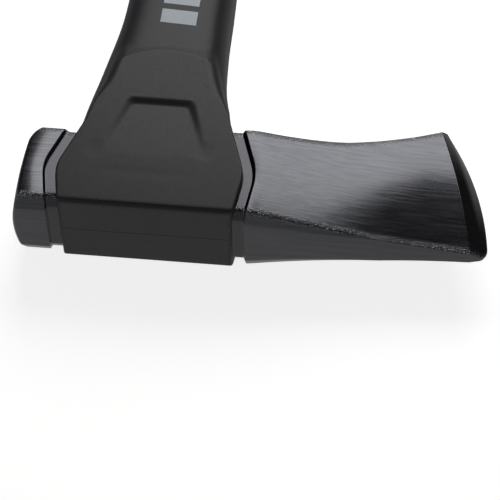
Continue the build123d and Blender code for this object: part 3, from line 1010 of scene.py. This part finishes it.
def add_lights():
    """One large softbox behind and above, a weak fill in front, and a dim surround that is paler below."""
    middle = Vector((0.04, 0.0, 0.025))
    below = Vector((SOFTBOX_PLACE.x, SOFTBOX_PLACE.y, 0.0))
    watts = SOFTBOX_RADIANCE * math.pi * SOFTBOX_WIDTH * SOFTBOX_LENGTH
    softbox = add_softbox("softbox_above", SOFTBOX_PLACE, below, SOFTBOX_WIDTH, SOFTBOX_LENGTH, watts)
    softbox.rotation_euler = (0.0, 0.0, SOFTBOX_TURN)
    fill_place = middle + towards(FILL_AZIMUTH, FILL_ELEVATION) * FILL_DISTANCE
    add_softbox("fill_front", fill_place, middle, 0.8, 0.5, 2.0)
    world = bpy.data.worlds.new("studio")
    world.use_nodes = True
    tree = world.node_tree
    tree.nodes.clear()
    way = add_node(tree, "ShaderNodeTexCoord").outputs["Generated"]
    height = add_node(tree, "ShaderNodeSeparateXYZ", {"Vector": way}).outputs["Z"]
    span = {"Value": height, "From Min": -0.12, "From Max": 0.3, "To Min": 0.28, "To Max": 0.04}
    fall = add_node(tree, "ShaderNodeMapRange", span).outputs["Result"]
    surround = add_node(tree, "ShaderNodeBackground", {"Color": WHITE, "Strength": fall})
    add_node(tree, "ShaderNodeOutputWorld", {"Surface": surround.outputs["Background"]})
    bpy.context.scene.world = world
    bpy.context.scene.view_settings.view_transform = "Standard"


# ---------------------------------------------------------------- operators
class MAUL_OT_head(bpy.types.Operator):
    """Build the forged head"""

    bl_idname = "maul.build_head"
    bl_label = "Forged Head"

    def execute(self, context):
        scene = context.scene
        piece = build_head(scene.maul_shroud, scene.maul_head)
        mount_piece(piece, lacquered_steel(scene.maul_colours), "steel_head")
        return {"FINISHED"}


class MAUL_OT_handle(bpy.types.Operator):
    """Build the moulded shroud, neck and shaft"""

    bl_idname = "maul.build_handle"
    bl_label = "Handle Moulding"

    def execute(self, context):
        scene = context.scene
        finish = moulded_nylon("black_glass_filled_nylon", scene.maul_colours, 0.44, scene.maul_print)
        mount_piece(build_jacket(scene.maul_shroud), finish, "handle_jacket")
        return {"FINISHED"}


class MAUL_OT_grip(bpy.types.Operator):
    """Build the ribbed sleeve on the lower handle"""

    bl_idname = "maul.build_grip"
    bl_label = "Grip Sleeve"

    def execute(self, context):
        scene = context.scene
        mount_piece(build_sleeve(scene.maul_grip), soft_rubber(scene.maul_colours), "grip_sleeve")
        return {"FINISHED"}


class MAUL_OT_inner(bpy.types.Operator):
    """Finish the butt cap, the core rod and the resin in the eye"""

    bl_idname = "maul.finish_inner"
    bl_label = "Cap, Core and Resin"

    def execute(self, context):
        colours = context.scene.maul_colours
        finishes = {
            "butt_cap": moulded_nylon("black_nylon_cap", colours, 0.4),
            "core_rod": glass_fibre(colours),
            "eye_epoxy": cast_epoxy(colours),
        }
        for node, finish in finishes.items():
            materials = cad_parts[node].data.materials
            materials.clear()
            materials.append(finish)
        return {"FINISHED"}


class MAUL_OT_stage(bpy.types.Operator):
    """Set out the floor, the lights and the camera"""

    bl_idname = "maul.set_stage"
    bl_label = "Stage"

    def execute(self, context):
        add_floor(context.scene.maul_colours)
        add_lights()
        add_camera()
        return {"FINISHED"}


OPERATORS = (MAUL_OT_head, MAUL_OT_handle, MAUL_OT_grip, MAUL_OT_inner, MAUL_OT_stage)
SETTINGS = {
    "maul_shroud": MaulShroudSettings,
    "maul_head": MaulHeadSettings,
    "maul_grip": MaulGripSettings,
    "maul_print": MaulPrintSettings,
    "maul_colours": MaulColourSettings,
}


class MAUL_PT_panel(bpy.types.Panel):
    """The maul's pieces and settings"""

    bl_label = "Splitting Maul"
    bl_idname = "MAUL_PT_panel"
    bl_space_type = "VIEW_3D"
    bl_region_type = "UI"
    bl_category = "Maul"

    def draw(self, context):
        for operator in OPERATORS:
            self.layout.operator(operator.bl_idname)
        for name in SETTINGS:
            box = self.layout.box()
            group = getattr(context.scene, name)
            for setting in group.__annotations__:
                box.prop(group, setting)


def register():
    for cls in (*SETTINGS.values(), *OPERATORS, MAUL_PT_panel):
        bpy.utils.register_class(cls)
    for name, cls in SETTINGS.items():
        setattr(bpy.types.Scene, name, PointerProperty(type=cls))


def unregister():
    for name in SETTINGS:
        delattr(bpy.types.Scene, name)
    for cls in reversed((*SETTINGS.values(), *OPERATORS, MAUL_PT_panel)):
        bpy.utils.unregister_class(cls)


def main():
    register()
    bpy.ops.maul.build_head()
    bpy.ops.maul.build_handle()
    bpy.ops.maul.build_grip()
    bpy.ops.maul.finish_inner()
    bpy.ops.maul.set_stage()


if __name__ == "__main__":
    main()
